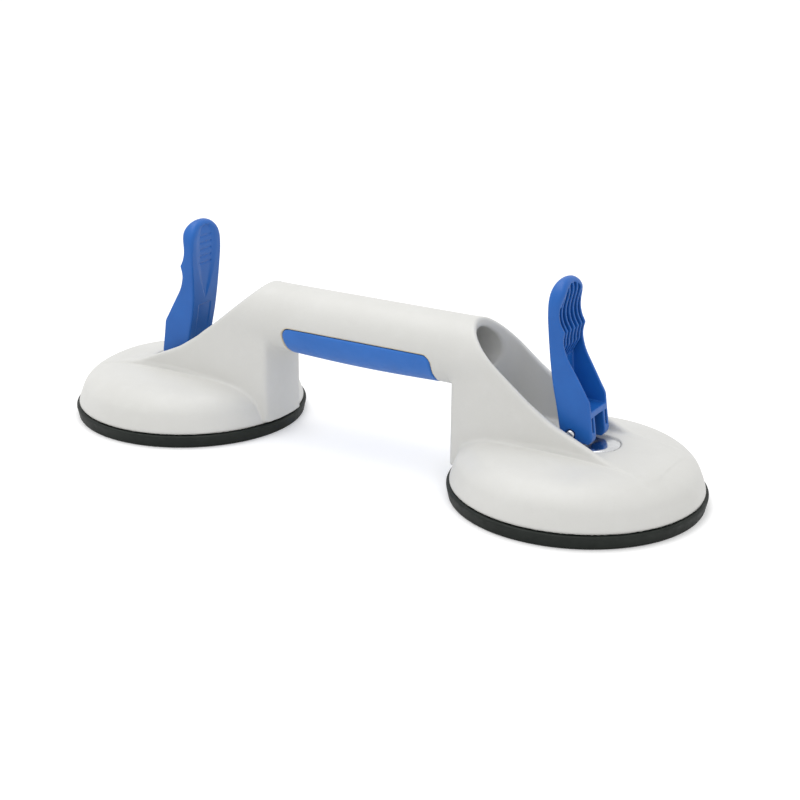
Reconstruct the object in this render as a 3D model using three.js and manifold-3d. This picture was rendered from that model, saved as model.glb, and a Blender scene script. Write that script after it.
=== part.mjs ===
// Portable suction grab bar: one moulded bar with two suction heads.
// Millimetres, +Z up. X runs along the bar, Y across it. The origin is on the
// surface the pads stand on, midway between the two heads.
import * as THREE from 'three';
import { mergeVertices } from 'three/addons/utils/BufferGeometryUtils.js';
import Module from 'manifold-3d';

const wasm = await Module();
wasm.setup();
const { Manifold, Mesh: SolidMesh } = wasm;

// ---------------------------------------------------------------- dimensions
const HEAD_X = 111.35;         // head axis from the middle of the bar
const PAD_R = 60.0;            // rubber pad lip radius
const PAD_BASE_R = 58.9;       // rubber pad radius on the surface
const PAD_LIP_Z = 6.2;         // height of the rubber lip
const GAP = 0.3;               // clearance between touching pieces

const TUBE_R = 16.6;           // handle tube
const TUBE_Z = 60.2;           // handle axis height
const BORE_MOUTH_R = 12.3;     // core-pin hole at its mouths
const BORE_MID_R = 11.0;       // core-pin hole in the middle

const PILLAR_R = 60.4;         // cylinder of each head's inner end wall
const POCKET_W = 15.5;         // half width of the lever trough
const POCKET_END_X = -36.5;    // centre of the trough's round inner end
const FLOOR_Z = 27.9;          // trough floor
const SIDES = 48;              // facets around each head

const PLATE_R = 11.6;          // wear plate, round at both ends
const PLATE_X = 8.1;           // centre of its outboard end, from the head axis
const PLATE_TOP = 28.2;
const PLATE_T = 1.4;
const STUD_HOLE_R = 6.4;

const PIN_Z = 33.2;            // lever pivot height, lever released
const PIN_R = 2.2;
const PIN_HOLE_R = 2.5;
const TONGUE_Y = 3.9;          // half thickness of the stud's tongue
const TONGUE_X = 4.6;
const SLOT_Y = 4.6;            // half width of the slot between the lever's ears

const GRIP_HALF = 41.7;        // half length of the soft grip
const GRIP_TOP_Z = 59.6;
const GRIP_IN_R = 14.7;
const GRIP_CROWN = 0.85;       // how far the grip stands proud at mid length

// ------------------------------------------------------------------- colours
const SHELL = new THREE.MeshStandardMaterial({ color: 0xe4e4e1, roughness: 0.42, metalness: 0 });
const GRIP = new THREE.MeshStandardMaterial({ color: 0x3f6fc4, roughness: 0.62, metalness: 0 });
const LEVER = new THREE.MeshStandardMaterial({ color: 0x2f62c0, roughness: 0.38, metalness: 0 });
const RUBBER = new THREE.MeshStandardMaterial({ color: 0x2a302d, roughness: 0.7, metalness: 0 });
const STEEL = new THREE.MeshStandardMaterial({ color: 0xc9ccd0, roughness: 0.22, metalness: 1 });
const ZINC = new THREE.MeshStandardMaterial({ color: 0xa9adb0, roughness: 0.4, metalness: 1 });

// ------------------------------------------------------------------- helpers
function solid(geometry) {
  let g = geometry.index ? geometry.toNonIndexed() : geometry.clone();
  for (const name of Object.keys(g.attributes)) if (name !== 'position') g.deleteAttribute(name);
  g = mergeVertices(g, 1e-4);
  const idx = g.index.array, keep = [];
  for (let i = 0; i < idx.length; i += 3) {
    if (idx[i] !== idx[i + 1] && idx[i + 1] !== idx[i + 2] && idx[i] !== idx[i + 2]) keep.push(idx[i], idx[i + 1], idx[i + 2]);
  }
  // a mirrored or reversed outline faces inwards: its triangles are turned round
  const p = g.attributes.position.array;
  let volume = 0;
  for (let i = 0; i < keep.length; i += 3) {
    const [a, b, c] = [keep[i] * 3, keep[i + 1] * 3, keep[i + 2] * 3];
    volume += p[a] * (p[b + 1] * p[c + 2] - p[b + 2] * p[c + 1])
      - p[a + 1] * (p[b] * p[c + 2] - p[b + 2] * p[c])
      + p[a + 2] * (p[b] * p[c + 1] - p[b + 1] * p[c]);
  }
  if (volume < 0) for (let i = 0; i < keep.length; i += 3) [keep[i + 1], keep[i + 2]] = [keep[i + 2], keep[i + 1]];
  return new Manifold(new SolidMesh({
    numProp: 3,
    vertProperties: new Float32Array(p),
    triVerts: new Uint32Array(keep),
  }));
}

function geometryOf(manifold) {
  const m = manifold.getMesh();
  const g = new THREE.BufferGeometry();
  g.setAttribute('position', new THREE.BufferAttribute(new Float32Array(m.vertProperties), 3));
  g.setIndex(new THREE.BufferAttribute(new Uint32Array(m.triVerts), 1));
  return g;
}

const add = (...s) => s.reduce((a, b) => a.add(b));
const cut = (a, ...s) => s.reduce((x, b) => x.subtract(b), a);

// a closed outline in X and Z, carried across Y from y0 to y1
function slabY(points, y0, y1) {
  const shape = new THREE.Shape(points.map(([x, z]) => new THREE.Vector2(x, z)));
  const g = new THREE.ExtrudeGeometry(shape, { depth: y1 - y0, bevelEnabled: false });
  g.rotateX(Math.PI / 2);        // (x, y, depth) -> (x, -depth, y)
  g.translate(0, y1, 0);
  return solid(g);
}

// a closed outline in Y and Z, carried along X from x0 to x1
function slabX(points, x0, x1) {
  const shape = new THREE.Shape(points.map(([y, z]) => new THREE.Vector2(y, z)));
  const g = new THREE.ExtrudeGeometry(shape, { depth: x1 - x0, bevelEnabled: false });
  g.rotateX(Math.PI / 2);
  g.rotateZ(Math.PI / 2);        // outline now in Y and Z, depth along X
  g.translate(x0, 0, 0);
  return solid(g);
}

// a closed outline in X and Y, carried up Z from z0 to z1
function slabZ(points, z0, z1) {
  const shape = new THREE.Shape(points.map(([x, y]) => new THREE.Vector2(x, y)));
  const g = new THREE.ExtrudeGeometry(shape, { depth: z1 - z0, bevelEnabled: false });
  g.translate(0, 0, z0);
  return solid(g);
}

// a profile of [radius, z] turned about Z
function turned(profile, sides = SIDES) {
  const g = new THREE.LatheGeometry(profile.map(([r, z]) => new THREE.Vector2(r, z)), sides);
  g.rotateX(Math.PI / 2);
  return solid(g);
}

function rodZ(r, z0, z1, sides = 24, x = 0, y = 0) {
  const g = new THREE.CylinderGeometry(r, r, z1 - z0, sides);
  g.rotateX(Math.PI / 2);
  g.translate(x, y, (z0 + z1) / 2);
  return solid(g);
}

function rodY(r, y0, y1, x, z, sides = 20) {
  const g = new THREE.CylinderGeometry(r, r, y1 - y0, sides);
  g.translate(x, (y0 + y1) / 2, z);
  return solid(g);
}

// a cone or cylinder along X
function rodX(r0, r1, x0, x1, z, sides = 36) {
  const g = new THREE.CylinderGeometry(r1, r0, x1 - x0, sides);
  g.rotateZ(-Math.PI / 2);
  g.translate((x0 + x1) / 2, 0, z);
  return solid(g);
}

function box(x0, x1, y0, y1, z0, z1) {
  const g = new THREE.BoxGeometry(x1 - x0, y1 - y0, z1 - z0);
  g.translate((x0 + x1) / 2, (y0 + y1) / 2, (z0 + z1) / 2);
  return solid(g);
}

// points of an arc, angles in degrees
function arc(cx, cy, r, a0, a1, n) {
  const out = [];
  for (let i = 0; i <= n; i++) {
    const a = (a0 + (a1 - a0) * i / n) * Math.PI / 180;
    out.push([cx + r * Math.cos(a), cy + r * Math.sin(a)]);
  }
  return out;
}

// --------------------------------------------------------------- main moulding
// Each head is made in its own frame: its axis at x = 0, outboard along +x.
const rimLine = [             // top edge of the trough walls, from the tube outwards
  [-53.0, 79.5], [-49.0, 74.0], [-45.0, 69.9], [-39.7, 64.9], [-35.9, 61.4], [-28.6, 55.4], [-23.0, 51.1], [-17.7, 47.0],
  [-12.5, 43.6], [-7.4, 40.4], [-2.2, 37.9], [3.1, 35.6], [11.5, 32.0], [17.7, 29.4], [22.5, 27.9], [26.8, 26.9], [34.3, 25.3], [42.0, 23.8],
];
const wallPlan = [            // outer half width of the trough walls in plan
  [-56.5, 15.2], [-50.0, 16.1], [-42.0, 17.0], [-32.0, 17.9], [-20.0, 18.6], [-5.0, 19.0],
  [12.0, 19.4], [25.0, 20.0], [36.0, 20.8], [42.0, 21.2],
];

function underRim(y0, y1) {
  return slabY([[-260, -5], [60, -5], [60, 13], ...rimLine.slice().reverse(), [-260, 80]], y0, y1);
}

const UNDERSIDE = [           // inside of the dome, from its rim to the middle
  [55.2, PAD_LIP_Z + GAP], [54.2, 13.0], [49.0, 18.2], [38.5, 22.4], [28, 23.7], [0, 23.8],
];

function headShell() {
  // moulded dome over the rubber pad
  const dome = turned([
    [0, 26.3], [26, 26.3], [34, 25.9], [40, 25.1], [44, 24.2], [48, 22.7], [52, 20.1], [55, 16.8], [56.9, 12.6], [58.4, 8.8], [58.7, PAD_LIP_Z + GAP],
    ...UNDERSIDE,
  ]);
  // deck between the trough walls, a little above the dome beside them
  const deckPlan = [...wallPlan.filter(([x]) => x > -30).map(([x, y]) => [x, -y]), ...wallPlan.filter(([x]) => x > -30).reverse()];
  const deck = slabZ(deckPlan, 20, 40).intersect(turned([[0, 28.2], [17, 28.2], [22, 27.6], [28, 26.8], [34, 26.05], [38, 25.35], [43, 24.3], [43, 22.4], [30, 24.5], [0, 24.5]]));
  // trough walls and inner pillar
  const plan = [...wallPlan.map(([x, y]) => [x, -y]), ...wallPlan.slice().reverse(), ...arc(0, 0, PILLAR_R, 165.1, 194.9, 6).slice(1, -1)];
  const cap = add(box(-80, 60, -30, 30, 0, TUBE_Z), rodX(TUBE_R, TUBE_R, -80, 60, TUBE_Z, 40));
  const walls = slabZ(plan, 12, 77).intersect(underRim(-30, 30)).intersect(cap);
  const skirt = slabZ(plan, 7.2, 12.5)
    .intersect(turned([[0, 5], [PILLAR_R, 5], [PILLAR_R, 13], [0, 13]]));
  // inside of the dome, so that walls and skirt add nothing under the shell
  const hollow = turned([
    [0, 6], [55.2, 6], ...UNDERSIDE,
  ]);
  const hub = rodZ(9.6, 17.6, 25.0, 24);
  const ribs = [30, 90, 150, 210, 270, 330].map((a) => {
    const g = new THREE.ExtrudeGeometry(new THREE.Shape([
      new THREE.Vector2(8.5, 17.8), new THREE.Vector2(30, 17.8), new THREE.Vector2(53.4, 12.0),
      new THREE.Vector2(55.2, 12.4), new THREE.Vector2(49.6, 19.4), new THREE.Vector2(29, 24.7), new THREE.Vector2(8.5, 25.0),
    ]), { depth: 2, bevelEnabled: false });
    g.rotateX(Math.PI / 2);
    g.translate(0, 1, 0);
    g.rotateZ(a * Math.PI / 180);
    return solid(g);
  });
  const head = add(dome, deck, cut(add(walls, skirt), hollow));
  return { head, extra: add(hub, ...ribs) };
}

function trough() {
  // vertical-sided slot with a round inner end, open outboard
  const plan = [...arc(POCKET_END_X, 0, POCKET_W, 90, 270, 14), [0, -POCKET_W], [22, -16.4], [40, -17.6], [75, -19], [75, 19], [40, 17.6], [22, 16.4], [0, POCKET_W]];
  return slabZ(plan, FLOOR_Z, 90);
}

function barrel(r0, crown, half, sides, steps) {
  // body of revolution about X, crowned in the middle
  const prof = [[0, -half]];
  for (let i = 0; i <= steps; i++) {
    const x = -half + 2 * half * i / steps;
    prof.push([r0 + crown * Math.cos(Math.PI * x / (2 * half)), x]);
  }
  prof.push([0, half]);
  const g = new THREE.LatheGeometry(prof.map(([r, x]) => new THREE.Vector2(r, x)), sides);
  g.rotateZ(-Math.PI / 2);
  g.translate(0, 0, TUBE_Z);
  return solid(g);
}

function gripOutline(half, top, r) {
  return slabY([[-half, 30], [half, 30], ...arc(half - r, top - r, r, 0, 90, 5), ...arc(-half + r, top - r, r, 90, 180, 5)], -30, 30);
}

function mainMoulding() {
  const { head, extra } = headShell();
  const cutTrough = trough();
  // recess for the wear plate and hole for the stud
  const recess = slabZ(plateOutline(GAP), PLATE_TOP - PLATE_T - GAP, 40);
  const hole = rodZ(STUD_HOLE_R, 10, 40, 24);
  // coring of the thick pillar foot from below
  const core = slabZ([[-30, -11.5], [-30, 11.5], ...arc(0, 0, 57.4, 168.4, 191.6, 4)], 8, FLOOR_Z - 2.6);
  const one = cut(add(head, extra), cutTrough, recess, hole, core);
  const right = one.translate([HEAD_X, 0, 0]);
  const left = one.mirror([1, 0, 0]).translate([-HEAD_X, 0, 0]);
  // handle tube between the troughs, trimmed by the sloping rim at both ends
  const rimR = underRim(-40, 40).translate([HEAD_X, 0, 0]);
  const rimL = underRim(-40, 40).mirror([1, 0, 0]).translate([-HEAD_X, 0, 0]);
  const reach = HEAD_X - 41;
  let tube = rodX(TUBE_R, TUBE_R, -reach, reach, TUBE_Z, 40);
  tube = tube.intersect(rimR).intersect(rimL);
  tube = cut(tube, cutTrough.translate([HEAD_X, 0, 0]), cutTrough.mirror([1, 0, 0]).translate([-HEAD_X, 0, 0]));
  const bore = add(
    rodX(BORE_MID_R, BORE_MOUTH_R, -0.01, 62, TUBE_Z, 32),
    rodX(BORE_MOUTH_R, BORE_MID_R, -62, 0.01, TUBE_Z, 32));
  const seat = cut(rodX(TUBE_R + 3, TUBE_R + 3, -GRIP_HALF - 1, GRIP_HALF + 1, TUBE_Z, 40),
    rodX(GRIP_IN_R - GAP, GRIP_IN_R - GAP, -60, 60, TUBE_Z, 40)).intersect(gripOutline(GRIP_HALF + GAP, GRIP_TOP_Z + GAP, 4.8));
  return cut(add(left, right, tube), bore, seat);
}

// ------------------------------------------------------------------ soft grip
function softGrip() {
  const outer = barrel(TUBE_R, GRIP_CROWN, GRIP_HALF + 0.5, 40, 8);
  const inner = rodX(GRIP_IN_R, GRIP_IN_R, -60, 60, TUBE_Z, 40);
  return cut(outer, inner).intersect(gripOutline(GRIP_HALF, GRIP_TOP_Z, 4.5));
}

// ------------------------------------------------------------- head components
function suctionPad() {
  // rubber disc with a raised lip and a boss that takes the steel pad plate
  return turned([
    [0, 0], [PAD_BASE_R, 0], [PAD_R, 4.6], [PAD_R - 0.3, PAD_LIP_Z], [55.0, PAD_LIP_Z], [53.4, 4.6],
    [31.0, 4.4], [28.0, 8.8], [24.3, 8.8], [24.3, 6.2], [0, 6.2],
  ]);
}

function padPlate() {
  // steel disc moulded into the top of the pad, pierced for the stud
  return turned([[3.9, 6.5], [24.0, 6.5], [24.0, 8.5], [3.9, 8.5], [3.9, 6.5]], 36);
}

function stud() {
  // spigot, flange, round shank and flat tongue with the pin eye
  const shank = turned([
    [0, 6.5], [3.5, 6.5], [3.5, 8.8], [10.5, 8.8], [10.5, 10.2], [4.3, 10.9], [4.3, 23.9], [0, 23.9],
  ], 24);
  const tongue = slabY([[-TONGUE_X, 22.6], [TONGUE_X, 22.6], ...arc(0, PIN_Z, TONGUE_X, 0, 180, 10)], -TONGUE_Y, TONGUE_Y);
  return cut(add(shank, tongue), rodY(PIN_HOLE_R, -9, 9, 0, PIN_Z));
}

// plan of the wear plate, g wider all round
function plateOutline(g) {
  return [...arc(PLATE_X, 0, PLATE_R + g, -90, 90, 18), ...arc(0, 0, PLATE_R + g, 90, 270, 18)];
}

function wearPlate() {
  return cut(slabZ(plateOutline(0), PLATE_TOP - PLATE_T, PLATE_TOP), rodZ(STUD_HOLE_R - 0.1, 20, 40, 24));
}

function pivotPin() {
  // plain pin with slightly domed ends
  const L = 10.1;
  const g = new THREE.LatheGeometry([
    [0, -L - 0.7], [1.2, -L - 0.5], [1.9, -L - 0.1], [PIN_R, -L + 0.6], [PIN_R, L - 0.6], [1.9, L + 0.1], [1.2, L + 0.5], [0, L + 0.7],
  ].map(([r, y]) => new THREE.Vector2(r, y)), 20);
  g.translate(0, 0, PIN_Z);
  return solid(g);
}

// ----------------------------------------------------------------------- lever
const leverBack = [           // smooth side towards the handle, from the foot up
  [-5.0, 29.7], [-5.5, 35.4], [-7.3, 45.8], [-9.2, 54.6], [-10.5, 63.5], [-11.3, 72.6], [-12.0, 84.4],
  [-12.6, 93.5], [-12.4, 98.6], [-11.3, 102.0], [-9.4, 103.6],
];
const leverFront = [          // ribbed side, from the tip down to the cam foot
  [-7.7, 103.1], [-6.4, 100.6], [-6.1, 97.6], [-6.7, 94.8], [-8.0, 91.6], [-8.5, 88.6], [-8.0, 85.2], [-6.6, 81.2],
  [-4.9, 77.6], [-4.0, 75.0], [-3.6, 72.0], [3.0, 60.9], [8.4, 49.4], [9.2, 44.3], [10.65, 36.6], [10.3, 34.4], [9.35, 32.1], [7.6, 30.0], [7.1, 29.7],
];
const leverWidth = [          // half width seen from the front
  [29.0, 9.8], [47.0, 9.5], [60.0, 9.9], [72.0, 10.5], [85.0, 11.3], [92.0, 11.5],
];

function leverFace(inset, top) {
  const side = leverWidth.map(([z, w]) => [w - inset, z]);
  const r = 11.5 - inset, cz = 103.6 - 11.5;
  const cap = arc(0, cz, r, 12, 168, 14).map(([y, z]) => [y, Math.min(z, top)]);
  return slabX([...side, ...cap, ...side.slice().reverse().map(([y, z]) => [-y, z])], -40, 40);
}

function lever() {
  let s = slabY([...leverBack, ...leverFront], -13, 13).intersect(leverFace(0, 200));
  // open shell between the side walls, up to where the ribs come forward
  const inner = leverFace(1.7, 99.5);
  const lower = slabY([
    [30, 46.2], [-5.2, 46.2], [-7.0, 54.6], [-8.3, 63.5], [-7.6, 68.0], [-5.6, 72.4], [-4.2, 75.4], [30, 75.4],
  ], -12, 12).intersect(inner);
  s = cut(s, lower);
  // slots between the longitudinal ribs
  for (const [y, top] of [[1.8, 99.8], [5.4, 98.2], [9.05, 94.6]]) {
    for (const side of [-1, 1]) {
      const slot = slabY([
        [30, 66.0], [-8.5, 66.0], [-9.1, 72.6], [-9.8, 84.4], [-10.4, 92.0], [-9.9, top - 1.8], [-8.6, top - 0.5], [-7.0, top], [30, top],
      ], side * y - 1.15, side * y + 1.15);
      s = cut(s, slot.intersect(leverFace(1.5, 101)));
    }
  }
  // slot for the stud's tongue, pockets in the ears, and the pin hole
  s = cut(s, slabY([[-20, 20], [30, 20], [30, 43.0], [-2.6, 43.0], [-2.6, 40.2], [-20, 40.2]], -SLOT_Y, SLOT_Y));
  for (const side of [-1, 1]) s = cut(s, box(4.2, 30, Math.min(side * 6.3, side * 7.9), Math.max(side * 6.3, side * 7.9), 35.8, 43.0));
  return cut(s, rodY(PIN_HOLE_R, -20, 20, 0, PIN_Z));
}

// ------------------------------------------------------------------ scene graph
const bar = new THREE.Group();

function place(parent, name, manifold, material) {
  const mesh = new THREE.Mesh(geometryOf(manifold), material);
  mesh.name = name;
  parent.add(mesh);
}

place(bar, 'body_shell', mainMoulding(), SHELL);
place(bar, 'grip_pad', softGrip(), GRIP);

const parts = [
  ['suction_pad', suctionPad(), RUBBER],
  ['pad_plate', padPlate(), ZINC],
  ['stud', stud(), ZINC],
  ['wear_plate', wearPlate(), STEEL],
  ['pivot_pin', pivotPin(), STEEL],
  ['lever', lever(), LEVER],
];
for (const [side, sign] of [['left', -1], ['right', 1]]) {
  const head = new THREE.Group();
  head.position.set(sign * HEAD_X, 0, 0);
  for (const [kind, made, material] of parts) {
    place(head, `${side}_${kind}`, sign < 0 ? made.mirror([1, 0, 0]) : made, material);
  }
  bar.add(head);
}

export default bar;
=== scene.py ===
import math

import bpy
import bmesh
import numpy as np
from mathutils import Matrix, Vector


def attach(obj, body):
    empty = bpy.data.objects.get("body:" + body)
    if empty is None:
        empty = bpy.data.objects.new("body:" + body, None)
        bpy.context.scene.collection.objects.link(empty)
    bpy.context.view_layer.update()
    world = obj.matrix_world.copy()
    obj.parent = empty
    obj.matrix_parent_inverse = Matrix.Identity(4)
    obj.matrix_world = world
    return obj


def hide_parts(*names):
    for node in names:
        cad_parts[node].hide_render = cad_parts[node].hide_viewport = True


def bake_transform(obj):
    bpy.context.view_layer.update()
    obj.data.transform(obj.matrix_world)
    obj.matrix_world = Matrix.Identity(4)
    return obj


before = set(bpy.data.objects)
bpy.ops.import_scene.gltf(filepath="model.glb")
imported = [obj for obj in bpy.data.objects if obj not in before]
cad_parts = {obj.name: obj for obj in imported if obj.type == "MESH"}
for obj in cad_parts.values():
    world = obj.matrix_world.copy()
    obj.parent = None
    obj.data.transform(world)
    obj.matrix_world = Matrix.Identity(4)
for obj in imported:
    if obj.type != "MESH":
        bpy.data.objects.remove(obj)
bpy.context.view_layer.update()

MM = 0.001
HX = 111.35          # head axis, mm from the middle of the bar
TUBE_R, TUBE_Z = 16.6, 60.2
FLOOR = 28.05
POCKET_END, POCKET_W = -36.5, 15.5
PILLAR_R = 60.8
PIN_Z = 33.2
PLATE_R, PLATE_X, PLATE_TOP = 11.6, 8.1, 28.2


# ------------------------------------------------------------ distance fields
def smin(a, b, k):
    h = np.maximum(k - np.abs(a - b), 0.0) / k
    return np.minimum(a, b) - h * h * k * 0.25


def smax(a, b, k):
    h = np.maximum(k - np.abs(a - b), 0.0) / k
    return np.maximum(a, b) + h * h * k * 0.25


def sstep(t):
    t = np.clip(t, 0.0, 1.0)
    return t * t * (3 - 2 * t)


def spline(points, per=12):
    """Catmull-Rom curve through 2D points."""
    p = np.array(points, float)
    p = np.vstack([2 * p[0] - p[1], p, 2 * p[-1] - p[-2]])
    out = []
    for i in range(1, len(p) - 2):
        for j in range(per):
            t = j / per
            a, b, c, d = p[i - 1], p[i], p[i + 1], p[i + 2]
            out.append(0.5 * ((2 * b) + (c - a) * t + (2 * a - 5 * b + 4 * c - d) * t * t + (3 * b - a - 3 * c + d) * t ** 3))
    out.append(p[-2])
    return np.array(out)


class Curve:
    """A smooth single-valued curve through points."""

    def __init__(self, points, n=600):
        c = spline(points, 24)
        self.x = np.linspace(c[0, 0], c[-1, 0], n)
        o = np.argsort(c[:, 0])
        self.y = np.interp(self.x, c[o, 0], c[o, 1])
        self.s = np.gradient(self.y, self.x)

    def __call__(self, x):
        return np.interp(x, self.x, self.y)

    def slope(self, x):
        return np.interp(x, self.x, self.s)


class Outline:
    """Signed distance to a closed 2D outline, kept in a table."""

    def __init__(self, points, box, step=0.2):
        p = np.array(points, float)
        if np.hypot(*(p[0] - p[-1])) < 1e-9:
            p = p[:-1]
        (x0, y0), (x1, y1) = box
        xs, ys = np.arange(x0, x1 + step, step), np.arange(y0, y1 + step, step)
        gx, gy = np.meshgrid(xs, ys, indexing="ij")
        best = np.full(gx.shape, 1e9)
        inside = np.zeros(gx.shape, bool)
        for a, b in zip(p, np.roll(p, -1, 0)):
            d = b - a
            n = d @ d
            if n < 1e-12:
                continue
            t = np.clip(((gx - a[0]) * d[0] + (gy - a[1]) * d[1]) / n, 0, 1)
            best = np.minimum(best, (gx - a[0] - t * d[0]) ** 2 + (gy - a[1] - t * d[1]) ** 2)
            if a[1] != b[1]:
                c = (a[1] > gy) != (b[1] > gy)
                inside ^= c & (gx < (b[0] - a[0]) * (gy - a[1]) / (b[1] - a[1]) + a[0])
        self.t = np.where(inside, -1, 1) * np.sqrt(best)
        self.o, self.step = (x0, y0), step

    def __call__(self, x, y):
        i = np.clip((x - self.o[0]) / self.step, 0, self.t.shape[0] - 1.001)
        j = np.clip((y - self.o[1]) / self.step, 0, self.t.shape[1] - 1.001)
        a, b = i.astype(int), j.astype(int)
        u, v = i - a, j - b
        t = self.t
        return (t[a, b] * (1 - u) + t[a + 1, b] * u) * (1 - v) + (t[a, b + 1] * (1 - u) + t[a + 1, b + 1] * u) * v


def surface(field, lo, hi, step, mirror=(), rounds=4):
    """Closed quad mesh of field = 0 (surface nets), its points then moved onto the surface. Millimetres.
    mirror names the axes (0, 1) about which the field is the same on both sides."""
    axes = []
    for k in range(3):
        if k in mirror:
            n = int(math.ceil(hi[k] / step))
            pos = (np.arange(n) + 0.5) * step
            axes.append((pos, True))
        else:
            n = int(math.ceil((hi[k] - lo[k]) / step)) + 1
            axes.append((lo[k] + np.arange(n) * step, False))
    part = [a for a, _ in axes]
    vals = np.empty((len(part[0]), len(part[1]), len(part[2])), np.float32)
    y, z = np.meshgrid(part[1], part[2], indexing="ij")
    block = 24
    for i in range(0, len(part[0]), block):
        x = part[0][i:i + block][:, None, None]
        xx = np.broadcast_to(x, (x.shape[0],) + y.shape)
        yy, zz = np.broadcast_to(y, xx.shape), np.broadcast_to(z, xx.shape)
        vals[i:i + block] = field(xx, yy, zz)
    grid = []
    for k in range(3):
        if axes[k][1]:
            vals = np.concatenate([np.flip(vals, k), vals], k)
            grid.append(np.concatenate([-part[k][::-1], part[k]]))
        else:
            grid.append(part[k])
    solid = vals < 0
    nx, ny, nz = vals.shape
    origin = np.array([g[0] for g in grid])
    total = np.zeros((nx - 1, ny - 1, nz - 1, 3), np.float32)
    count = np.zeros((nx - 1, ny - 1, nz - 1), np.float32)

    def edges(axis):
        s0 = [slice(None)] * 3
        s1 = [slice(None)] * 3
        s0[axis], s1[axis] = slice(0, -1), slice(1, None)
        a, b = vals[tuple(s0)], vals[tuple(s1)]
        cross = solid[tuple(s0)] != solid[tuple(s1)]
        idx = np.argwhere(cross)
        va, vb = a[cross], b[cross]
        t = va / (va - vb)
        return idx, t, solid[tuple(s0)][cross]

    quads = []
    for axis in range(3):
        idx, t, inside = edges(axis)
        p = idx.astype(np.float32).copy()
        p[:, axis] += t
        o1, o2 = [k for k in range(3) if k != axis]
        cells = []
        for d1, d2 in ((0, 0), (1, 0), (1, 1), (0, 1)):
            c = idx.copy()
            c[:, o1] -= d1
            c[:, o2] -= d2
            cells.append(c)
            ok = np.all((c >= 0) & (c < np.array([nx - 1, ny - 1, nz - 1])), 1)
            cc = c[ok]
            np.add.at(total, (cc[:, 0], cc[:, 1], cc[:, 2]), p[ok])
            np.add.at(count, (cc[:, 0], cc[:, 1], cc[:, 2]), 1)
        q = np.stack(cells, 1)
        flip = inside if axis != 1 else ~inside
        q[flip] = q[flip][:, ::-1]
        quads.append(q)
    live = count > 0
    ids = np.full(live.shape, -1, np.int64)
    ids[live] = np.arange(live.sum())
    verts = (total[live] / count[live][:, None]) * step + origin
    faces = np.concatenate(quads)
    faces = ids[faces[..., 0], faces[..., 1], faces[..., 2]]
    faces = faces[(faces >= 0).all(1)]
    verts = verts.astype(float)
    e = 0.02
    for _ in range(rounds):
        f = at(field, verts, mirror)
        g = np.stack([(at(field, verts + d, mirror) - at(field, verts - d, mirror)) / (2 * e) for d in np.eye(3) * e], 1)
        n2 = np.maximum((g * g).sum(1), 0.2)
        move = g * (f / n2)[:, None]
        size = np.linalg.norm(move, axis=1)
        verts -= move * np.minimum(1, 0.5 * step / np.maximum(size, 1e-9))[:, None]
    return verts, faces


def at(field, p, mirror):
    q = [np.abs(p[:, k]) if k in mirror else p[:, k] for k in range(3)]
    return field(*q)


def mesh_object(name, verts, faces, smooth=True):
    """Makes a mesh object from millimetre points."""
    me = bpy.data.meshes.new(name)
    v = np.asarray(verts, np.float32) * MM
    f = np.asarray(faces, np.int32)
    n = f.shape[1]
    me.vertices.add(len(v))
    me.vertices.foreach_set("co", v.ravel())
    me.loops.add(f.size)
    me.loops.foreach_set("vertex_index", f.ravel())
    me.polygons.add(len(f))
    me.polygons.foreach_set("loop_start", np.arange(0, f.size, n, dtype=np.int32))
    me.polygons.foreach_set("loop_total", np.full(len(f), n, np.int32))
    me.polygons.foreach_set("use_smooth", np.full(len(f), smooth))
    me.update(calc_edges=True)
    me.validate()
    o = bpy.data.objects.new(name, me)
    bpy.context.scene.collection.objects.link(o)
    bm = bmesh.new()
    bm.from_mesh(me)
    bmesh.ops.recalc_face_normals(bm, faces=bm.faces)
    bm.to_mesh(me)
    bm.free()
    return o


def lathe(name, profile, sides=160, x=0.0, close=True):
    """Body of revolution about Z from a profile of (radius, z) that starts and ends on the axis, or closes on itself."""
    prof = [tuple(p) for p in profile]
    ring = not (prof[0][0] < 1e-9 and prof[-1][0] < 1e-9)
    verts, faces = [], []
    index = []
    for r, z in prof:
        if r < 1e-9:
            index.append([len(verts)] * sides)
            verts.append((x, 0, z))
        else:
            index.append([len(verts) + i for i in range(sides)])
            for i in range(sides):
                a = 2 * math.pi * i / sides
                verts.append((x + r * math.cos(a), r * math.sin(a), z))
    rows = list(zip(index, index[1:])) + ([(index[-1], index[0])] if ring else [])
    bm = bmesh.new()
    bv = [bm.verts.new(Vector(v) * MM) for v in verts]
    for a, b in rows:
        for i in range(sides):
            j = (i + 1) % sides
            ids = []
            for k in (a[i], a[j], b[j], b[i]):
                if k not in ids:
                    ids.append(k)
            if len(ids) > 2:
                f = bm.faces.new([bv[k] for k in ids])
                f.smooth = True
    bmesh.ops.recalc_face_normals(bm, faces=bm.faces)
    me = bpy.data.meshes.new(name)
    bm.to_mesh(me)
    bm.free()
    o = bpy.data.objects.new(name, me)
    bpy.context.scene.collection.objects.link(o)
    return o


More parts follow.
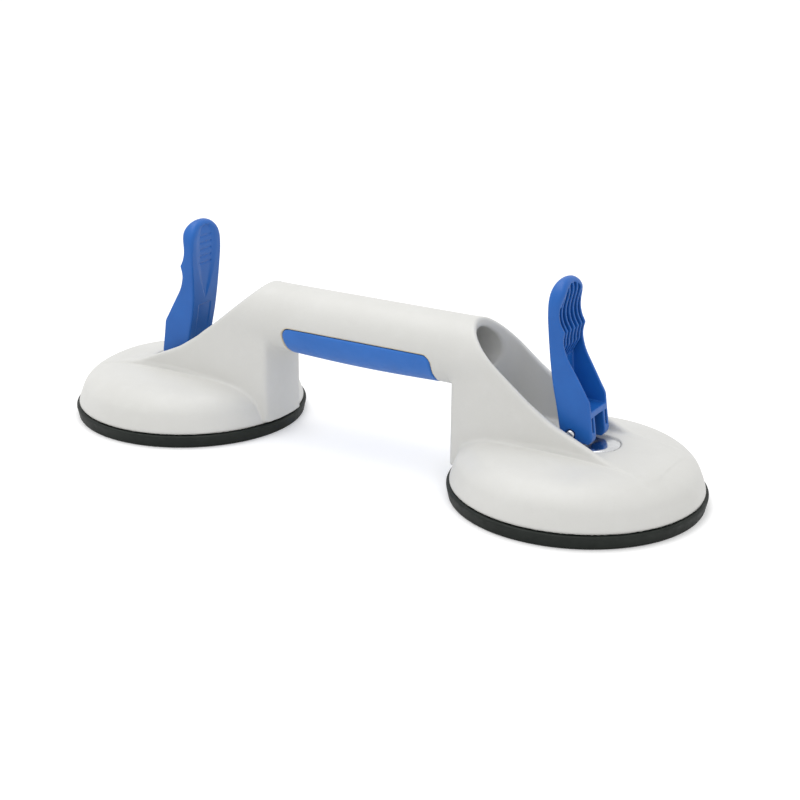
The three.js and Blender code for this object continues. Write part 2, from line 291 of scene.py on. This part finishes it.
# ------------------------------------------------------------- main moulding
dome_curve = [(0, 26.3), (13, 26.3), (26, 26.3), (34, 25.85), (40, 25.05), (44, 24.15), (48, 22.7), (52, 20.1), (55, 16.8),
              (56.9, 12.6), (58.1, 9.2), (58.6, 7.4)]
under_curve = [(55.2, 6.5), (54.2, 13.0), (49.0, 18.2), (38.5, 22.4), (28, 23.7), (0, 23.8), (-4, 23.8)]
dome_outer = Outline(list(spline(dome_curve, 8)) + [(58.5, 6.5)] + under_curve + [(-4, 26.3)], ((0, 3), (66, 36)))
strip_curve = Curve([(0, 28.3), (10, 28.3), (16, 28.2), (22, 27.55), (28, 26.9), (34, 26.3), (40, 25.55), (44, 24.55), (49, 21.9), (60, 10)])
hollow = Outline([(-4, 0), (55.2, 0)] + under_curve, ((0, 3), (66, 36)))
rim_curve = Curve([(-62, 93), (-57, 85.5), (-53.0, 79.5), (-49.0, 74.0), (-45.0, 69.9), (-39.7, 64.9), (-35.9, 61.4), (-28.6, 55.4),
                   (-23.0, 51.1), (-17.7, 47.0), (-12.5, 43.6), (-7.4, 40.4), (-2.2, 37.9), (3.1, 35.6), (11.5, 32.0), (17.7, 29.4),
                   (22.5, 27.9), (26.8, 26.9), (34.3, 25.3), (42.0, 23.4), (60, 8)])
wall_curve = Curve([(-70, 13.4), (-56.5, 15.2), (-50.0, 16.1), (-42.0, 17.0), (-32.0, 17.9), (-20.0, 18.6), (-5.0, 19.0),
                    (12.0, 19.4), (25.0, 20.2), (36.0, 21.4), (46.0, 22.6), (70, 25)])
inner_curve = Curve([(-70, 15.5), (-40, 15.5), (0, 15.5), (22, 16.4), (40, 18.2), (75, 22)])


def body_field(X, Y, Z):
    x = X - HX                                     # outboard of the head axis
    y = np.abs(Y)
    r = np.hypot(x, y)
    dome = dome_outer(r, Z)
    # crown between the trough walls stands a little above the dome outside them
    w = wall_curve(x)
    crown = smax(Z - strip_curve(r), y - w, 0.6)
    crown = np.maximum(crown, -hollow(r, Z))
    crown = np.maximum(crown, np.maximum(-30 - x, x - 45.0) * 0.5)
    dome = smin(dome, crown, 0.7)
    # trough walls, pillar and the handle's end
    rho = np.hypot(y, Z - TUBE_Z)
    side = np.where(Z > TUBE_Z, rho, y) - w
    walls = smax(side, r - PILLAR_R, 2.2)
    walls = smax(walls, x - 38, 0.5)
    tube = rho - TUBE_R
    upper = smin(walls, tube, 2.4)
    s = rim_curve.slope(x)
    rim = (Z - rim_curve(x)) / np.sqrt(1 + s * s)
    upper = smax(upper, rim, 2.0)
    upper = smax(upper, 7.6 - Z, 0.6)
    upper = smax(upper, -hollow(r, Z), 0.4)
    # in the middle of the bar there is only the tube
    upper = np.where(x > -30, smax(upper, x - 60, 0.5), upper)
    k = 0.4 + 1.5 * sstep((Z - 14) / 6) * sstep((38 - x) / 16)
    f = smin(dome, upper, k)
    f = smax(f, 6.5 - Z, 0.5)
    # slot for the lever
    iw = inner_curve(x)
    slot = np.where(x < POCKET_END, np.hypot(x - POCKET_END, y) - POCKET_W, y - iw)
    slot = smax(slot, FLOOR - Z, 2.4)
    f = smax(f, -slot, 1.6)
    # core-pin hole through the handle
    bore = rho - (11.0 + 1.3 * np.clip(X / 62.0, 0, 1))
    bore = smax(bore, X - 68, 1.0)
    f = smax(f, -bore, 1.1)
    # seat of the grip
    seat = smax(14.4 - rho, Z - 59.8, 0.4)
    seat = smax(seat, np.hypot(np.maximum(X - 37.2, 0), np.maximum(Z - 55.1, 0)) - 4.7, 0.4)
    f = smax(f, -seat, 0.35)
    # seat of the wear plate, stud hole and hub
    a = np.hypot(x - np.clip(x, 0, PLATE_X), y)
    f = smax(f, -smax(a - PLATE_R - 0.25, 26.5 - Z, 0.4), 0.35)
    hub = smax(r - 9.6, smax(17.6 - Z, Z - 25.0, 0.5), 0.8)
    f = smin(f, hub, 1.5)
    # stiffening ribs under the dome
    th = np.arctan2(y, x)
    rib = np.full(np.shape(X), 9.0)
    for k in (30, 90, 150):
        c, s2 = math.cos(math.radians(k)), math.sin(math.radians(k))
        along, across = x * c + y * s2, np.abs(-x * s2 + y * c)
        low = np.maximum(17.8 - np.maximum(along - 30, 0) * 0.248, 11.9)
        rib = np.minimum(rib, np.maximum(np.maximum(across - 1.0, low - Z), np.maximum(8.5 - along, along - 55.3)))
    rib = np.maximum(rib, Z - 25)
    inside = hollow(r, Z) - 1.2
    f = smin(f, np.maximum(rib, inside), 1.0)
    f = smax(f, -smax(r - 6.4, Z - 40, 0.4), 0.5)
    return f


step = 0.8
v, q = surface(body_field, (-173, -61, 5.0), (173, 61, 78.5), step, mirror=(0, 1))
body = mesh_object("shell_moulding", v, q)

# ------------------------------------------------------------------ soft grip


def grip_field(X, Y, Z):
    y = np.abs(Y)
    x = np.abs(X)
    rho = np.hypot(y, Z - TUBE_Z)
    crown = 0.85 * np.cos(np.clip(x / 42.2, 0, 1) * math.pi / 2) + 0.12
    edge = smax(Z - 59.6, np.hypot(np.maximum(x - 37.2, 0), np.maximum(Z - 55.1, 0)) - 4.5, 0.3)
    ends = x - 41.7
    edge = smax(edge, ends, 0.3)
    f = smax(rho - (TUBE_R + crown), 14.7 - rho, 0.4)
    return smax(f, edge, 1.1)


step = 0.6
v, q = surface(grip_field, (-44, -20, 40), (44, 20, 62), step, mirror=(0, 1))
grip = mesh_object("soft_grip", v, q)

# --------------------------------------------------------------------- levers
back = [(-5.0, 29.7), (-5.7, 35.4), (-7.8, 45.8), (-9.7, 54.6), (-11.0, 63.5), (-11.8, 72.6), (-12.5, 84.4),
        (-13.0, 93.5), (-12.8, 98.6), (-11.7, 102.2), (-9.6, 103.8)]
front_top = [(-9.6, 103.8), (-7.6, 103.2), (-6.2, 100.8), (-5.7, 97.6), (-6.2, 94.6), (-6.9, 91.6), (-7.2, 88.6), (-7.0, 86.2),
             (-6.2, 83.6), (-5.0, 81.4), (-4.4, 80.2), (-4.7, 78.6), (-5.0, 76.4), (-4.9, 74.2), (-4.3, 71.8), (-3.4, 69.2),
             (-1.9, 66.2), (0.6, 62.2), (3.3, 57.8), (6.0, 53.2), (8.1, 49.6), (8.7, 46.5), (9.2, 43.0)]
foot = [(10.2, 36.2), (10.62, 33.4), (10.38, 31.7), (9.5, 30.3), (8.8, 29.7)]
lever_side = Outline(list(spline(back[1:], 8)) + list(spline(front_top, 8))[1:] + foot + [back[0]], ((-18, 25), (16, 108)), 0.15)
back_in = Curve([(28, -3.2), (35.4, -3.6), (45.8, -5.8), (54.6, -7.7), (63.5, -8.9), (72.6, -9.8), (84.4, -10.5), (93.5, -10.9), (98.6, -10.7), (104, -9.4), (110, -8)])
rib_front = Curve([(44, -20), (60, -10.1), (63.5, -9.4), (66.0, -8.6), (68.5, -7.5), (71.0, -6.2), (73.4, -5.1), (75.4, -4.8), (77.4, -4.7),
                   (79.0, -4.5), (80.2, -4.3), (81.4, -4.9), (83.6, -6.1), (86.2, -6.9), (88.6, -7.1), (91.6, -6.8), (94.6, -6.1), (97.6, -5.6),
                   (100.6, -6.1), (103, -7.6), (110, -12)])
half_width = Curve([(24, 9.85), (29, 9.8), (38, 9.75), (47, 9.75), (60, 10.1), (72, 11.0), (82, 11.9), (91.3, 12.4), (110, 12.4)])
thumb = Curve([(58, 0.2), (62, 0.4), (66, 2.2), (72, 4.8), (80, 7.5), (87, 8.9), (93, 8.9), (97, 7.4), (100, 4.4), (101.5, 0.3), (110, 0.2)])
grooves = (81.0, 84.5, 88.0, 91.5, 95.0)


def lever_face(y, z, inset):
    w = half_width(z) - inset
    return np.where(z > 91.3, np.hypot(y, z - 91.3) - (12.4 - inset), y - w)


def lever_field(x, Y, z):
    y = np.abs(Y)
    k = 1.1 + 1.5 * sstep((z - 84) / 12)
    f = smax(lever_side(x, z), lever_face(y, z, 0.0), k)
    # shallow thumb hollow and a plain recessed panel on the smooth side
    depth = -(x - np.interp(z, [p[1] for p in back], [p[0] for p in back]))
    e = y / np.maximum(thumb(z), 0.2)
    f = f + 0.7 * sstep((1.0 - e) * 1.8) * np.clip((thumb(z) - 0.3) / 2.5, 0, 1) * (depth > -3.0)
    panel = np.maximum(y - 5.2, np.abs(z - 49.0) - 10.5)
    f = f + 0.35 * sstep(-panel / 0.7) * (depth > -3.0)
    for g in grooves:
        d = np.hypot(np.maximum(y - 4.2, 0), z - g)
        f = f + 0.4 * sstep(1.3 - d / 0.7) * (depth > -3.0)
    # open shell with longitudinal ribs
    hollow_in = smax(back_in(z) - x, lever_face(y, z, 1.7), 0.9)
    hollow_in = smax(hollow_in, 44.8 - z, 0.7)
    hollow_in = smax(hollow_in, lever_face(y, z, 2.9) - 30 * (z < 91.3), 0.8)
    pitch = (half_width(z) - 0.9) / 2.9
    yr = np.abs(y - pitch * np.clip(np.round(y / pitch), 0, 2))
    ribs = smax(yr - 0.5, x - rib_front(z), 0.3)
    f = smax(f, -smax(hollow_in, -ribs, 0.6), 0.5)
    # slot for the stud, pockets in the ears, pin hole
    top = np.where(x > -2.6, 42.0, 39.0)
    f = smax(f, -smax(y - 4.6, z - top, 0.6), 0.6)
    pocket = smax(np.abs(y - 7.1) - 0.85, np.maximum(np.abs(z - 38.5) - 3.4, 4.2 - x), 0.3)
    f = smax(f, -pocket, 0.5)
    f = smax(f, -(np.hypot(x, z - PIN_Z) - 2.38), 0.4)
    return f


step = 0.36
lv, lq = surface(lever_field, (-15.5, -14, 28), (13, 14, 105.8), step, mirror=(1,), rounds=3)
levers = {}
for side, sg in (("left", -1), ("right", 1)):
    p = lv.copy()
    p[:, 0] = sg * (p[:, 0] + HX)
    levers[side] = mesh_object(f"{side}_cam_lever", p, lq if sg > 0 else lq[:, ::-1])

# ------------------------------------------------- discs, plates, pins
pads, plates, pins = {}, {}, {}
for side, sg in (("left", -1), ("right", 1)):
    cx = sg * HX
    outer = [(58.3, 0.0), (58.75, 0.12), (59.0, 0.5), (59.25, 1.6), (59.55, 3.0), (59.85, 4.3), (60.0, 5.1), (59.98, 5.6), (59.8, 6.0), (59.4, 6.2)]
    under = [(0, 0.0)]
    for g in (14, 30):
        under += [(g - 0.9, 0.0), (g - 0.5, 0.35), (g + 0.5, 0.35), (g + 0.9, 0.0)]
    for g in (50.0, 53.0, 56.0):
        under += [(g - 0.75, 0.0), (g - 0.35, 0.55), (g + 0.35, 0.55), (g + 0.75, 0.0)]
    top = [(55.6, 6.2), (55.0, 6.05), (53.6, 4.9), (53.0, 4.6), (46, 4.5), (38, 4.4), (31.4, 4.4), (30.6, 4.7), (28.6, 8.3), (28.0, 8.8), (25.0, 8.8), (24.3, 8.6), (24.3, 6.2), (0, 6.2)]
    dense = []
    prof = under + outer + top
    for (r0, z0), (r1, z1) in zip(prof, prof[1:]):
        n = max(1, int(math.hypot(r1 - r0, z1 - z0) / 2.0))
        dense += [(r0 + (r1 - r0) * i / n, z0 + (z1 - z0) * i / n) for i in range(n)]
    dense.append(prof[-1])
    pads[side] = lathe(f"{side}_rubber_disc", dense, 192, cx)

    R, T = PLATE_R, PLATE_TOP
    prof = [(6.3, T - 0.1), (6.45, T), (7.5, T), (9.0, T), (R - 1.75, T), (R - 1.6, T - 0.03), (R - 0.9, T - 0.22), (R - 0.2, T - 0.42), (R - 0.02, T - 0.55), (R, T - 0.8), (R, T - 1.4), (6.3, T - 1.4)]
    o = lathe(f"{side}_wear_disc", prof, 128, 0.0)
    co = np.zeros(len(o.data.vertices) * 3, np.float32)
    o.data.vertices.foreach_get("co", co)
    co = co.reshape(-1, 3)
    rr = np.hypot(co[:, 0], co[:, 1]) / MM
    t = np.clip((rr - 6.5) / (R - 2.4 - 6.5), 0, 1) * (co[:, 0] * sg > 1e-7)
    co[:, 0] += (sg * PLATE_X * t + cx) * MM
    o.data.vertices.foreach_set("co", co.ravel())
    o.data.update()
    plates[side] = o

    L = 10.1
    prof = [(0, -L - 0.7), (0.7, -L - 0.64), (1.35, -L - 0.42), (1.85, -L - 0.05), (2.12, -L + 0.45), (2.2, -L + 0.9), (2.2, L - 0.9), (2.12, L - 0.45), (1.85, L + 0.05), (1.35, L + 0.42), (0.7, L + 0.64), (0, L + 0.7)]
    o = lathe(f"{side}_pin", prof, 48, 0.0)
    o.data.transform(Matrix.Translation((cx * MM, 0, PIN_Z * MM)) @ Matrix.Rotation(math.pi / 2, 4, "X"))
    pins[side] = o


# ------------------------------------------------------------------ materials
class Nodes:
    """Small builder for one procedural material."""

    def __init__(self, name):
        self.m = bpy.data.materials.new(name)
        self.m.use_nodes = True
        self.t = self.m.node_tree
        self.t.nodes.clear()
        self.out = self.t.nodes.new("ShaderNodeOutputMaterial")
        self.b = self.t.nodes.new("ShaderNodeBsdfPrincipled")
        self.t.links.new(self.b.outputs[0], self.out.inputs["Surface"])
        self.tc = self.t.nodes.new("ShaderNodeTexCoord").outputs["Object"]
        self.height = None

    def set(self, **kw):
        for k, v in kw.items():
            self.b.inputs[k.replace("_", " ")].default_value = v
        return self

    def noise(self, scale, detail=3.0, rough=0.5, stretch=None, distortion=0.0):
        src = self.tc
        if stretch:
            m = self.t.nodes.new("ShaderNodeMapping")
            m.inputs["Scale"].default_value = stretch
            self.t.links.new(src, m.inputs["Vector"])
            src = m.outputs[0]
        n = self.t.nodes.new("ShaderNodeTexNoise")
        n.inputs["Scale"].default_value = scale
        n.inputs["Detail"].default_value = detail
        n.inputs["Roughness"].default_value = rough
        n.inputs["Distortion"].default_value = distortion
        self.t.links.new(src, n.inputs["Vector"])
        return n.outputs["Fac"]

    def voronoi(self, scale):
        n = self.t.nodes.new("ShaderNodeTexVoronoi")
        n.inputs["Scale"].default_value = scale
        self.t.links.new(self.tc, n.inputs["Vector"])
        return n.outputs["Distance"]

    def rings(self, centre, scale, distortion=0.3):
        m = self.t.nodes.new("ShaderNodeMapping")
        m.inputs["Location"].default_value = (-centre[0], -centre[1], -centre[2])
        self.t.links.new(self.tc, m.inputs["Vector"])
        n = self.t.nodes.new("ShaderNodeTexWave")
        n.wave_type = "RINGS"
        n.rings_direction = "Z"
        n.inputs["Scale"].default_value = scale
        n.inputs["Distortion"].default_value = distortion
        n.inputs["Detail"].default_value = 2.0
        self.t.links.new(m.outputs[0], n.inputs["Vector"])
        return n.outputs["Fac"]

    def ramp(self, fac, stops):
        r = self.t.nodes.new("ShaderNodeValToRGB")
        e = r.color_ramp.elements
        while len(e) > 1:
            e.remove(e[-1])
        for i, (p, c) in enumerate(stops):
            x = e[0] if i == 0 else e.new(p)
            x.position = p
            x.color = tuple(c) + (1.0,) if len(c) == 3 else c
        self.t.links.new(fac, r.inputs["Fac"])
        return r.outputs["Color"]

    def span(self, fac, a, b, lo=0.3, hi=0.7):
        r = self.t.nodes.new("ShaderNodeMapRange")
        r.inputs["From Min"].default_value = lo
        r.inputs["From Max"].default_value = hi
        r.inputs["To Min"].default_value = a
        r.inputs["To Max"].default_value = b
        self.t.links.new(fac, r.inputs["Value"])
        return r.outputs["Result"]

    def mix(self, fac, a, b, mode="MIX"):
        n = self.t.nodes.new("ShaderNodeMix")
        n.data_type = "RGBA"
        n.blend_type = mode
        for s, v in ((n.inputs["Factor"], fac), (n.inputs[6], a), (n.inputs[7], b)):
            if hasattr(v, "links"):
                self.t.links.new(v, s)
            else:
                s.default_value = v
        return n.outputs[2]

    def edges(self, lo=0.52, hi=0.6):
        g = self.t.nodes.new("ShaderNodeNewGeometry")
        return self.span(g.outputs["Pointiness"], 0.0, 1.0, lo, hi)

    def maths(self, op, a, b=None):
        n = self.t.nodes.new("ShaderNodeMath")
        n.operation = op
        for s, v in zip(n.inputs, (a, b)):
            if v is None:
                continue
            if hasattr(v, "links"):
                self.t.links.new(v, s)
            else:
                s.default_value = v
        return n.outputs[0]

    def seam(self):
        """1 on a fine line round the edge of the grip, 0 elsewhere."""
        c = self.t.nodes.new("ShaderNodeSeparateXYZ")
        self.t.links.new(self.tc, c.inputs[0])
        a = self.maths("MAXIMUM", self.maths("SUBTRACT", self.maths("ABSOLUTE", c.outputs[0]), 0.0372), 0.0)
        b = self.maths("MAXIMUM", self.maths("SUBTRACT", c.outputs[2], 0.0551), 0.0)
        d = self.maths("SQRT", self.maths("ADD", self.maths("MULTIPLY", a, a), self.maths("MULTIPLY", b, b)))
        d = self.maths("ABSOLUTE", self.maths("SUBTRACT", d, 0.0049))
        return self.span(d, 1.0, 0.0, 0.0002, 0.0006)

    def colour(self, c):
        self.t.links.new(c, self.b.inputs["Base Color"])
        return self

    def rough(self, r):
        self.t.links.new(r, self.b.inputs["Roughness"])
        return self

    def bump(self, fac, distance, strength=1.0):
        n = self.t.nodes.new("ShaderNodeBump")
        n.inputs["Distance"].default_value = distance
        n.inputs["Strength"].default_value = strength
        self.t.links.new(fac, n.inputs["Height"])
        if self.height is not None:
            self.t.links.new(self.height, n.inputs["Normal"])
        self.height = n.outputs["Normal"]
        self.t.links.new(self.height, self.b.inputs["Normal"])
        return self


def shell_material():
    n = Nodes("shell_plastic")
    base = n.ramp(n.noise(28, 4, 0.55), [(0.3, (0.635, 0.632, 0.606)), (0.7, (0.665, 0.662, 0.638))])
    specks = n.span(n.noise(900, 2, 0.5), 0.0, 0.10, 0.60, 0.78)
    base = n.mix(specks, base, (0.50, 0.49, 0.46, 1))
    worn = n.mix(n.span(n.noise(160, 5, 0.6), 0.0, 0.35, 0.5, 0.8), base, (0.70, 0.70, 0.68, 1))
    n.colour(n.mix(n.seam(), worn, (0.66, 0.58, 0.42, 1)))
    n.rough(n.span(n.noise(70, 4, 0.6), 0.36, 0.47))
    n.bump(n.noise(2400, 2, 0.5), 0.00004, 0.35)
    n.bump(n.noise(110, 2, 0.4), 0.0002, 0.12)
    n.set(Specular_IOR_Level=0.5, IOR=1.48)
    return n.m


def lever_material():
    n = Nodes("lever_plastic")
    base = n.ramp(n.noise(60, 4, 0.55), [(0.3, (0.008, 0.108, 0.43)), (0.7, (0.012, 0.128, 0.48))])
    # painted highlight: sharply convex edges (high pointiness) are coloured a lighter blue in place of the bright
    # edge highlights
    edge = n.mix(n.edges(0.54, 0.64), base, (0.045, 0.21, 0.62, 1))
    scuff = n.span(n.noise(420, 6, 0.7, stretch=(1, 1, 0.15)), 0.0, 0.16, 0.62, 0.80)
    tone = n.mix(scuff, edge, (0.03, 0.16, 0.50, 1))
    # painted shade: where ambient occlusion finds nearby geometry (the open hollow, between the ribs, in recesses)
    # the colour is pulled towards a dark blue
    occlusion_shade = n.t.nodes.new("ShaderNodeAmbientOcclusion")
    occlusion_shade.inputs["Distance"].default_value = 0.012
    occlusion_shade.samples = 6
    n.colour(n.mix(n.span(occlusion_shade.outputs["AO"], 0.50, 0.0, 0.10, 0.50), tone, (0.001, 0.035, 0.22, 1)))
    n.rough(n.span(n.noise(240, 4, 0.6), 0.32, 0.44))
    n.bump(n.noise(2600, 2, 0.5), 0.00003, 0.4)
    n.bump(n.noise(180, 2, 0.4), 0.00015, 0.12)
    n.set(Specular_IOR_Level=0.42, IOR=1.49)
    return n.m


def grip_material():
    n = Nodes("grip_soft")
    base = n.ramp(n.noise(80, 4, 0.6), [(0.3, (0.011, 0.134, 0.50)), (0.7, (0.016, 0.152, 0.55))])
    lint = n.span(n.noise(1500, 3, 0.6), 0.0, 0.12, 0.62, 0.8)
    n.colour(n.mix(lint, base, (0.07, 0.20, 0.56, 1)))
    n.rough(n.span(n.noise(300, 4, 0.6), 0.56, 0.68))
    n.bump(n.voronoi(2200), 0.00006, 0.4)
    n.set(Sheen_Weight=0.15, Sheen_Roughness=0.5)
    return n.m


def rubber_material():
    n = Nodes("pad_rubber")
    base = n.ramp(n.noise(90, 5, 0.6), [(0.3, (0.007, 0.010, 0.008)), (0.7, (0.012, 0.016, 0.013))])
    dust = n.span(n.noise(600, 6, 0.7), 0.0, 0.22, 0.55, 0.8)
    n.colour(n.mix(dust, base, (0.035, 0.040, 0.035, 1)))
    n.rough(n.span(n.noise(260, 4, 0.6), 0.48, 0.64))
    n.bump(n.noise(1800, 3, 0.6), 0.00005, 0.4)
    n.set(Specular_IOR_Level=0.3)
    return n.m


def steel_material(name, centre, polished=True):
    n = Nodes(name)
    lo, hi = ((0.66, 0.67, 0.69), (0.78, 0.79, 0.81)) if polished else ((0.40, 0.41, 0.42), (0.56, 0.57, 0.58))
    n.colour(n.ramp(n.noise(200, 5, 0.6), [(0.3, lo), (0.7, hi)]))
    n.rough(n.span(n.noise(500, 5, 0.65), 0.10 if polished else 0.3, 0.2 if polished else 0.45))
    n.bump(n.rings(centre, 900 if polished else 500, 0.6), 0.00001, 0.25)
    n.bump(n.noise(900, 4, 0.6), 0.00002, 0.15)
    n.set(Metallic=1.0)
    return n.m


shell_mat, lever_mat, grip_mat, rubber_mat = shell_material(), lever_material(), grip_material(), rubber_material()


def finish(obj, mat):
    obj.data.materials.clear()
    obj.data.materials.append(mat)


finish(body, shell_mat)
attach(body, "body")
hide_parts("body_shell")
finish(grip, grip_mat)
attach(grip, "body")
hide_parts("grip_pad")
for side, sg in (("left", -1), ("right", 1)):
    centre = (sg * HX * MM, 0, 0)
    bright = steel_material(f"{side}_polished_steel", centre)
    dull = steel_material(f"{side}_zinc_steel", centre, False)
    finish(levers[side], lever_mat)
    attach(levers[side], f"{side}_lever")
    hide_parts(f"{side}_lever")
    finish(pins[side], bright)
    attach(pins[side], f"{side}_lever")
    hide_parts(f"{side}_pivot_pin")
    finish(plates[side], bright)
    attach(plates[side], "body")
    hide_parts(f"{side}_wear_plate")
    for node in (f"{side}_stud", f"{side}_pad_plate"):
        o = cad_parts[node]
        for s in o.material_slots:
            s.material = dull
    # a weight t, 1 at the disc's middle (27 mm) and 0 at its lip (53 mm), is worked out here, but no point is
    # moved with it
    pad = pads[side]
    finish(pad, rubber_mat)
    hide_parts(f"{side}_suction_pad")
    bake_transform(pad)
    co = np.zeros(len(pad.data.vertices) * 3, np.float32)
    pad.data.vertices.foreach_get("co", co)
    co = co.reshape(-1, 3)
    rr = np.hypot(co[:, 0] / MM - sg * HX, co[:, 1] / MM)
    t = np.clip((53.0 - rr) / (53.0 - 27.0), 0, 1)

# --------------------------------------------------------------------- studio
sc = bpy.context.scene
floor_mat = Nodes("studio_floor")
floor_mat.colour(floor_mat.ramp(floor_mat.noise(6, 3, 0.5), [(0.3, (0.835, 0.835, 0.835)), (0.7, (0.845, 0.845, 0.845))]))
floor_mat.set(Roughness=0.9, Specular_IOR_Level=0.1, Emission_Color=(1, 1, 1, 1))
seen = floor_mat.t.nodes.new("ShaderNodeLightPath").outputs["Is Camera Ray"]
floor_mat.t.links.new(floor_mat.maths("MULTIPLY", seen, 0.28), floor_mat.b.inputs["Emission Strength"])
bm = bmesh.new()
for x, y in ((-6, -6), (6, -6), (6, 6), (-6, 6)):
    bm.verts.new((x, y, -0.0002))
bm.faces.new(bm.verts)
me = bpy.data.meshes.new("floor")
bm.to_mesh(me)
bm.free()
floor = bpy.data.objects.new("floor", me)
sc.collection.objects.link(floor)
floor.data.materials.append(floor_mat.m)

world = bpy.data.worlds.new("studio")
sc.world = world
world.use_nodes = True
world.node_tree.nodes["Background"].inputs["Color"].default_value = (1.0, 1.0, 1.0, 1)
seen = world.node_tree.nodes.new("ShaderNodeLightPath").outputs["Is Camera Ray"]
lift = world.node_tree.nodes.new("ShaderNodeMath")
lift.operation = "MULTIPLY_ADD"
world.node_tree.links.new(seen, lift.inputs[0])
lift.inputs[1].default_value = 0.14
lift.inputs[2].default_value = 0.90
world.node_tree.links.new(lift.outputs[0], world.node_tree.nodes["Background"].inputs["Strength"])


def area(name, loc, target, size, power, colour=(1, 1, 1)):
    d = bpy.data.lights.new(name, "AREA")
    d.shape = "RECTANGLE"
    d.size, d.size_y = size
    d.energy = power
    d.color = colour
    o = bpy.data.objects.new(name, d)
    o.location = loc
    o.rotation_euler = (Vector(target) - Vector(loc)).to_track_quat("-Z", "Y").to_euler()
    sc.collection.objects.link(o)
    return o


area("top", (-0.25, -0.05, 1.3), (0, 0, 0.04), (1.3, 1.0), 7.2)

cam_d = bpy.data.cameras.new("camera")
cam = bpy.data.objects.new("camera", cam_d)
sc.collection.objects.link(cam)
sc.camera = cam
cam_d.sensor_fit = "HORIZONTAL"
cam_d.sensor_width = 36.0
cam_d.lens = 1556.365 * 36 / 800
cam_d.clip_start, cam_d.clip_end = 0.05, 30
yaw, pitch, roll = 0.5381, 0.3440, 0.0088
fwd = Vector((-math.sin(yaw) * math.cos(pitch), math.cos(yaw) * math.cos(pitch), -math.sin(pitch)))
right = Vector((math.cos(yaw), math.sin(yaw), 0))
up = right.cross(fwd)
r = math.cos(roll) * right + math.sin(roll) * up
u = -math.sin(roll) * right + math.cos(roll) * up
rot = Matrix((r, u, -fwd)).transposed()
cam.matrix_world = Matrix.Translation((0.3802652, -0.609579, 0.2829061)) @ rot.to_4x4()

sc.view_settings.view_transform = "Standard"
sc.view_settings.look = "None"
sc.view_settings.exposure = 0.0
